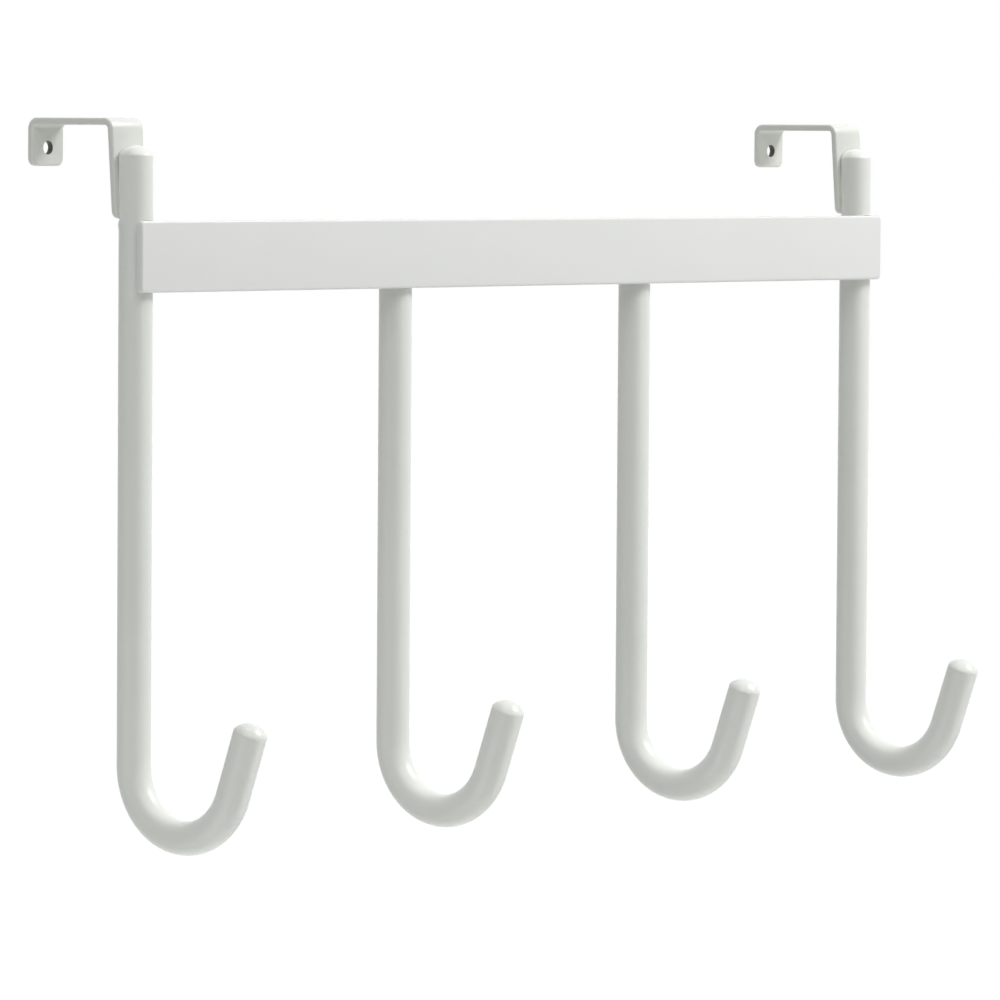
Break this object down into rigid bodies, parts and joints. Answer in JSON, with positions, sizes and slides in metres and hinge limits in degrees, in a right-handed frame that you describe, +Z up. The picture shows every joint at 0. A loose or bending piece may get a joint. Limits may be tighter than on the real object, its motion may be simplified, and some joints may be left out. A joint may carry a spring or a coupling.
{
  "type": "over door hook",
  "caption": "White steel over door hook rack: round J hooks on a flat crossbar, hung from bent strip brackets that clip over the door, each with a screw hole.",
  "frame": {"origin": "midway between the screw holes, on the back legs' faces that rest on the back of the door", "axes": "+X along the crossbar, +Y out of the back of the door, the way the screws come out, +Z up"},
  "size_m": [0.43, 0.1048, 0.255],
  "materials": {
    "powder_coated_steel": "satin white powder coat"
  },
  "bodies": {
    "root": {"left_door_bracket": "powder_coated_steel", "right_door_bracket": "powder_coated_steel", "crossbar": "powder_coated_steel", "left_outer_hook": "powder_coated_steel", "left_inner_hook": "powder_coated_steel", "right_inner_hook": "powder_coated_steel", "right_outer_hook": "powder_coated_steel"}
  },
  "joints": []
}
